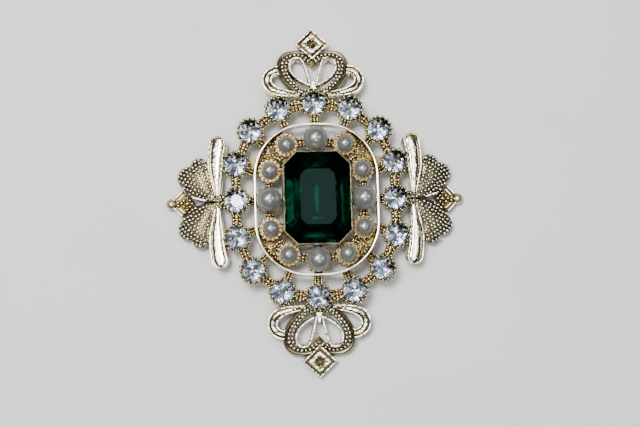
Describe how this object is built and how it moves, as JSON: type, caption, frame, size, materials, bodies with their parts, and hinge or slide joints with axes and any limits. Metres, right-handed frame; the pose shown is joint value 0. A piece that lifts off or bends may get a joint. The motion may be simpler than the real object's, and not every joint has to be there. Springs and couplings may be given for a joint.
{
  "type": "openwork gem brooch",
  "caption": "Domed openwork brooch with a bezel-set octagon stone, pearl ring, chaton lozenge, crown finials, beaded side fans and a hinged bar pin with a turning safety catch.",
  "frame": {"origin": "centre of the brooch's outline, on the plane that it lies on face up", "axes": "+Z out of the face, +Y towards the top crown finial, +X towards the fan on the viewer's right"},
  "size_m": [0.0603, 0.0712, 0.0111],
  "materials": {
    "gold_plate": "cast, gold plated, satin in the recesses",
    "pale_gold": "polished pale gold plate",
    "pin_metal": "drawn and plated pin fittings",
    "imitation_pearl": "satin pearl lacquer on a bead",
    "clear_crystal": "faceted, foil-backed",
    "green_glass": "step-cut, foil-backed"
  },
  "bodies": {
    "brooch": {"outer_frame": "gold_plate", "rim": "pale_gold", "pearl_ring": "gold_plate", "centre_bezel": "pale_gold", "centre_stone": "green_glass", "rhinestone_01": "clear_crystal", "rhinestone_02": "clear_crystal", "rhinestone_03": "clear_crystal", "rhinestone_04": "clear_crystal", "rhinestone_05": "clear_crystal", "rhinestone_06": "clear_crystal", "rhinestone_07": "clear_crystal", "rhinestone_08": "clear_crystal", "rhinestone_09": "clear_crystal", "rhinestone_10": "clear_crystal", "rhinestone_11": "clear_crystal", "rhinestone_12": "clear_crystal", "rhinestone_13": "clear_crystal", "rhinestone_14": "clear_crystal", "rhinestone_15": "clear_crystal", "rhinestone_16": "clear_crystal", "pearl_north": "imitation_pearl", "pearl_small_1": "imitation_pearl", "pearl_small_2": "imitation_pearl", "pearl_east": "imitation_pearl", "pearl_small_3": "imitation_pearl", "pearl_small_4": "imitation_pearl", "pearl_south": "imitation_pearl", "pearl_small_5": "imitation_pearl", "pearl_small_6": "imitation_pearl", "pearl_west": "imitation_pearl", "pearl_small_7": "imitation_pearl", "pearl_small_8": "imitation_pearl", "top_heart_band": "gold_plate", "top_loops": "pale_gold", "top_scroll_left": "pale_gold", "top_scroll_right": "pale_gold", "top_plaque": "pale_gold", "top_stud": "gold_plate", "bottom_heart_band": "gold_plate", "bottom_loops": "pale_gold", "bottom_scroll_left": "pale_gold", "bottom_scroll_right": "pale_gold", "bottom_plaque": "pale_gold", "bottom_stud": "gold_plate", "right_leaf_upper": "pale_gold", "right_leaf_lower": "pale_gold", "right_fan_upper": "gold_plate", "right_fan_lower": "gold_plate", "right_end_plaque": "pale_gold", "left_leaf_upper": "pale_gold", "left_leaf_lower": "pale_gold", "left_fan_upper": "gold_plate", "left_fan_lower": "gold_plate", "left_end_plaque": "pale_gold", "pin_bar": "pin_metal", "hinge_rivet": "pin_metal", "catch_housing": "pin_metal"},
    "stem": {"pin_stem": "pin_metal"},
    "catch": {"catch_rotor": "pin_metal"}
  },
  "joints": [
    {"name": "pin_hinge", "type": "hinge", "parent": "brooch", "child": "stem", "pos_m": [-0.0156, 0.00735, 0.0016], "axis": [0, 1, 0], "range_deg": [0, 100]},
    {"name": "catch_turn", "type": "hinge", "parent": "brooch", "child": "catch", "pos_m": [0.0144, 0.00735, 0.0016], "axis": [1, 0, 0], "range_deg": [0, 110]}
  ]
}
